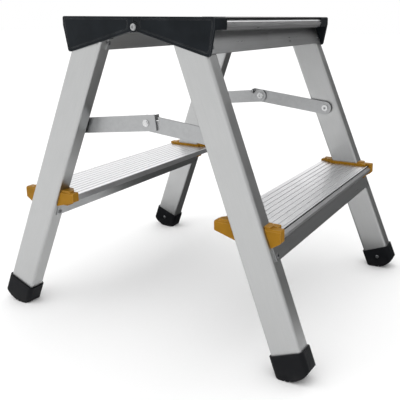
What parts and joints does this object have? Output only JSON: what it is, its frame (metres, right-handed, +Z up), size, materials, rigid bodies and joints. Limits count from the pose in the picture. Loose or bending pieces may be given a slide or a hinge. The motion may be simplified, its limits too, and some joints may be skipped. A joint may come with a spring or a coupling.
{
  "type": "double-sided folding step stool",
  "caption": "Low folding step stool with an A-shaped tubular frame, a tread on each side, a split platform on top, plastic end caps and folding spreader links.",
  "frame": {"origin": "centre of the footprint on the floor", "axes": "+Z up, X from the left frame to the right frame, Y along the treads (-Y is the near side)"},
  "size_m": [0.5658, 0.467, 0.48],
  "materials": {
    "rail": "satin anodised",
    "tread": "ribbed, satin anodised",
    "panel": "satin, in shade",
    "cap": "fine-grained moulding",
    "bracket": "satin moulding",
    "boot": "matt",
    "strip": "matt",
    "link": "zinc plated",
    "rivet": "plain"
  },
  "bodies": {
    "left_frame": {"left_near_rail": "rail", "left_near_foot": "boot", "left_near_cap": "cap", "left_near_bracket": "bracket", "left_far_rail": "rail", "left_far_foot": "boot", "left_far_cap": "cap", "left_far_bracket": "bracket", "left_foot_rivets": "rivet", "left_deck": "tread", "left_deck_strip": "strip", "left_apron": "panel", "left_back_apron": "panel", "left_back_web": "panel", "left_apron_rivets": "rivet", "left_tread": "tread", "left_tread_strip": "strip", "left_web": "panel", "left_web_rivets": "rivet", "near_bolt": "rivet", "near_nut": "rivet", "near_rail_rivet": "rivet"},
    "right_frame": {"right_near_rail": "rail", "right_near_foot": "boot", "right_near_cap": "cap", "right_near_bracket": "bracket", "right_far_rail": "rail", "right_far_foot": "boot", "right_far_cap": "cap", "right_far_bracket": "bracket", "right_foot_rivets": "rivet", "right_deck": "tread", "right_deck_strip": "strip", "right_apron": "panel", "right_back_apron": "panel", "right_back_web": "panel", "right_apron_rivets": "rivet", "right_tread": "tread", "right_tread_strip": "strip", "right_web": "panel", "right_web_rivets": "rivet", "far_bolt": "rivet", "far_nut": "rivet", "far_rail_rivet": "rivet"},
    "near_outer": {"near_outer_link": "link", "near_knee_rivet": "rivet"},
    "near_inner": {"near_inner_link": "link", "near_end_rivet": "rivet"},
    "far_outer": {"far_outer_link": "link", "far_knee_rivet": "rivet"},
    "far_inner": {"far_inner_link": "link", "far_end_rivet": "rivet"}
  },
  "joints": [
    {"name": "main_fold", "type": "hinge", "parent": "left_frame", "child": "right_frame", "pos_m": [0, 0, 0.4655], "axis": [0, 1, 0], "range_deg": [0, 45]},
    {"name": "near_outer_turn", "type": "hinge", "parent": "left_frame", "child": "near_outer", "pos_m": [-0.14042, -0.186, 0.31025], "axis": [0, 1, 0], "range_deg": [-33.7, 0]},
    {"name": "near_knee", "type": "hinge", "parent": "near_outer", "child": "near_inner", "pos_m": [-0.0035, -0.186, 0.3257], "axis": [0, 1, 0], "range_deg": [0, 107.8]},
    {"name": "far_outer_turn", "type": "hinge", "parent": "right_frame", "child": "far_outer", "pos_m": [0.14042, 0.186, 0.31025], "axis": [0, 1, 0], "range_deg": [0, 33.7]},
    {"name": "far_knee", "type": "hinge", "parent": "far_outer", "child": "far_inner", "pos_m": [0.0035, 0.186, 0.3257], "axis": [0, 1, 0], "range_deg": [-107.8, 0]}
  ],
  "couplings": [
    {"joint": "near_outer_turn", "follows": "main_fold", "ratio": -0.74887},
    {"joint": "near_knee", "follows": "main_fold", "ratio": 2.3953},
    {"joint": "far_outer_turn", "follows": "main_fold", "ratio": 0.74887},
    {"joint": "far_knee", "follows": "main_fold", "ratio": -2.3953}
  ]
}
